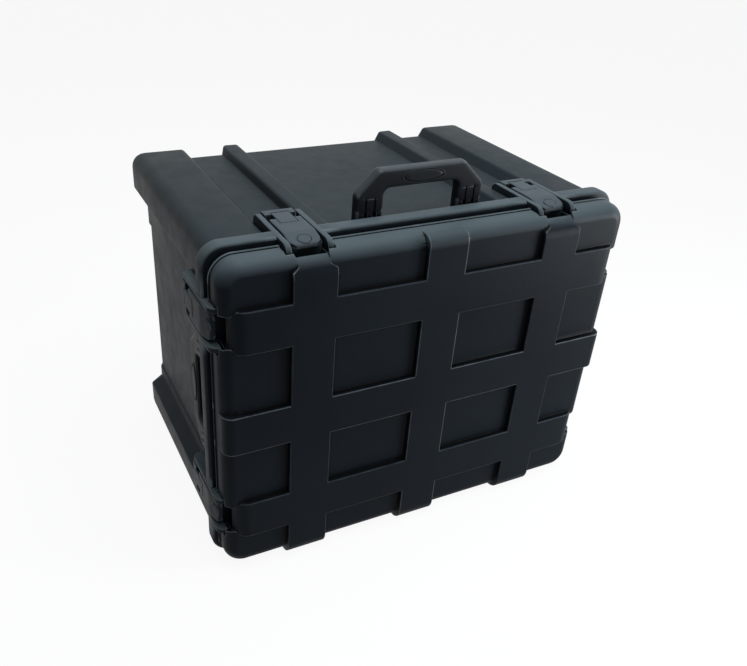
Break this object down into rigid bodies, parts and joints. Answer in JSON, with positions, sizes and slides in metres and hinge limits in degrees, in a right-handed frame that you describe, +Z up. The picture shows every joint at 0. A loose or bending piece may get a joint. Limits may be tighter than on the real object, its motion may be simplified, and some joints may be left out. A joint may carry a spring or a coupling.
{
  "type": "equipment rack case",
  "caption": "Moulded black plastic equipment rack case with raised-band lift-off front lid, trigger latches, folding handles and a shock-mounted 19-inch rack frame inside",
  "frame": {"origin": "on the floor, under the middle of the whole case", "axes": "+X to the right as seen from the front, +Y towards the back, +Z up; the lid faces -Y"},
  "size_m": [0.6318, 0.444, 0.5485],
  "materials": {
    "shell_plastic": "fine satin moulded texture, charcoal black",
    "latch_plastic": "smooth satin moulded plastic, charcoal black",
    "handle_plastic": "satin moulded plastic, black",
    "seal_rubber": "matt black elastomer",
    "pin_steel": "plain bright steel",
    "rack_paint": "semi-matt black paint on steel sheet"
  },
  "bodies": {
    "case": {"case_body": "shell_plastic", "lid_gasket": "seal_rubber", "latch_pin_top_left": "pin_steel", "latch_pin_top_right": "pin_steel", "latch_pin_left_upper": "pin_steel", "latch_pin_left_lower": "pin_steel", "latch_pin_right_upper": "pin_steel", "latch_pin_right_lower": "pin_steel", "handle_pin_top_a": "pin_steel", "handle_pin_top_b": "pin_steel", "handle_pin_left_a": "pin_steel", "handle_pin_left_b": "pin_steel", "handle_pin_right_a": "pin_steel", "handle_pin_right_b": "pin_steel", "rack_rail_front_left": "rack_paint", "rack_rail_rear_left": "rack_paint", "frame_side_left_upper": "rack_paint", "shock_mount_left_upper_front": "seal_rubber", "mount_bolt_left_upper_front": "pin_steel", "shock_mount_left_upper_rear": "seal_rubber", "mount_bolt_left_upper_rear": "pin_steel", "frame_side_left_lower": "rack_paint", "shock_mount_left_lower_front": "seal_rubber", "mount_bolt_left_lower_front": "pin_steel", "shock_mount_left_lower_rear": "seal_rubber", "mount_bolt_left_lower_rear": "pin_steel", "rack_rail_front_right": "rack_paint", "rack_rail_rear_right": "rack_paint", "frame_side_right_upper": "rack_paint", "shock_mount_right_upper_front": "seal_rubber", "mount_bolt_right_upper_front": "pin_steel", "shock_mount_right_upper_rear": "seal_rubber", "mount_bolt_right_upper_rear": "pin_steel", "frame_side_right_lower": "rack_paint", "shock_mount_right_lower_front": "seal_rubber", "mount_bolt_right_lower_front": "pin_steel", "shock_mount_right_lower_rear": "seal_rubber", "mount_bolt_right_lower_rear": "pin_steel", "frame_cross_front_top": "rack_paint", "frame_cross_front_bottom": "rack_paint", "frame_cross_rear_top": "rack_paint", "frame_cross_rear_bottom": "rack_paint"},
    "lid": {"lid_shell": "shell_plastic"},
    "latch_top_left": {"latch_top_left": "latch_plastic"},
    "trigger_top_left": {"latch_trigger_top_left": "latch_plastic"},
    "latch_top_right": {"latch_top_right": "latch_plastic"},
    "trigger_top_right": {"latch_trigger_top_right": "latch_plastic"},
    "latch_left_upper": {"latch_left_upper": "latch_plastic"},
    "trigger_left_upper": {"latch_trigger_left_upper": "latch_plastic"},
    "latch_left_lower": {"latch_left_lower": "latch_plastic"},
    "trigger_left_lower": {"latch_trigger_left_lower": "latch_plastic"},
    "latch_right_upper": {"latch_right_upper": "latch_plastic"},
    "trigger_right_upper": {"latch_trigger_right_upper": "latch_plastic"},
    "latch_right_lower": {"latch_right_lower": "latch_plastic"},
    "trigger_right_lower": {"latch_trigger_right_lower": "latch_plastic"},
    "handle_top": {"handle_top": "handle_plastic"},
    "handle_left": {"handle_left": "handle_plastic"},
    "handle_right": {"handle_right": "handle_plastic"}
  },
  "joints": [
    {"name": "lid_pull", "type": "slide", "parent": "case", "child": "lid", "axis": [0, -1, 0], "range_m": [0, 0.1]},
    {"name": "latch_swing_top_left", "type": "hinge", "parent": "case", "child": "latch_top_left", "pos_m": [-0.186, -0.095, 0.4855], "axis": [-1, 0, 0], "range_deg": [0, 120.01]},
    {"name": "trigger_pull_top_left", "type": "hinge", "parent": "latch_top_left", "child": "trigger_top_left", "pos_m": [-0.186, -0.104, 0.4903], "axis": [-1, 0, 0], "range_deg": [0, 25], "stiffness_Nm_per_rad": 0.02},
    {"name": "latch_swing_top_right", "type": "hinge", "parent": "case", "child": "latch_top_right", "pos_m": [0.186, -0.095, 0.4855], "axis": [-1, 0, 0], "range_deg": [0, 120.01]},
    {"name": "trigger_pull_top_right", "type": "hinge", "parent": "latch_top_right", "child": "trigger_top_right", "pos_m": [0.186, -0.104, 0.4903], "axis": [-1, 0, 0], "range_deg": [0, 25], "stiffness_Nm_per_rad": 0.02},
    {"name": "latch_swing_left_upper", "type": "hinge", "parent": "case", "child": "latch_left_upper", "pos_m": [-0.308, -0.095, 0.395], "axis": [0, 0, -1], "range_deg": [0, 120.01]},
    {"name": "trigger_pull_left_upper", "type": "hinge", "parent": "latch_left_upper", "child": "trigger_left_upper", "pos_m": [-0.3128, -0.104, 0.395], "axis": [0, 0, -1], "range_deg": [0, 25], "stiffness_Nm_per_rad": 0.02},
    {"name": "latch_swing_left_lower", "type": "hinge", "parent": "case", "child": "latch_left_lower", "pos_m": [-0.308, -0.095, 0.097], "axis": [0, 0, -1], "range_deg": [0, 120.01]},
    {"name": "trigger_pull_left_lower", "type": "hinge", "parent": "latch_left_lower", "child": "trigger_left_lower", "pos_m": [-0.3128, -0.104, 0.097], "axis": [0, 0, -1], "range_deg": [0, 25], "stiffness_Nm_per_rad": 0.02},
    {"name": "latch_swing_right_upper", "type": "hinge", "parent": "case", "child": "latch_right_upper", "pos_m": [0.308, -0.095, 0.395], "axis": [0, 0, 1], "range_deg": [0, 120.01]},
    {"name": "trigger_pull_right_upper", "type": "hinge", "parent": "latch_right_upper", "child": "trigger_right_upper", "pos_m": [0.3128, -0.104, 0.395], "axis": [0, 0, 1], "range_deg": [0, 25], "stiffness_Nm_per_rad": 0.02},
    {"name": "latch_swing_right_lower", "type": "hinge", "parent": "case", "child": "latch_right_lower", "pos_m": [0.308, -0.095, 0.097], "axis": [0, 0, 1], "range_deg": [0, 120.01]},
    {"name": "trigger_pull_right_lower", "type": "hinge", "parent": "latch_right_lower", "child": "trigger_right_lower", "pos_m": [0.3128, -0.104, 0.097], "axis": [0, 0, 1], "range_deg": [0, 25], "stiffness_Nm_per_rad": 0.02},
    {"name": "handle_fold_top", "type": "hinge", "parent": "case", "child": "handle_top", "pos_m": [0, -0.132, 0.4835], "axis": [-1, 0, 0], "range_deg": [0, 90]},
    {"name": "handle_fold_left", "type": "hinge", "parent": "case", "child": "handle_left", "pos_m": [-0.292, -0.132, 0.246], "axis": [0, 0, 1], "range_deg": [0, 90]},
    {"name": "handle_fold_right", "type": "hinge", "parent": "case", "child": "handle_right", "pos_m": [0.292, -0.132, 0.246], "axis": [0, 0, -1], "range_deg": [0, 90]}
  ],
  "couplings": [
    {"joint": "latch_swing_top_left", "follows": "lid_pull", "rad_per_m": 20.944},
    {"joint": "latch_swing_top_right", "follows": "lid_pull", "rad_per_m": 20.944},
    {"joint": "latch_swing_left_upper", "follows": "lid_pull", "rad_per_m": 20.944},
    {"joint": "latch_swing_left_lower", "follows": "lid_pull", "rad_per_m": 20.944},
    {"joint": "latch_swing_right_upper", "follows": "lid_pull", "rad_per_m": 20.944},
    {"joint": "latch_swing_right_lower", "follows": "lid_pull", "rad_per_m": 20.944}
  ]
}
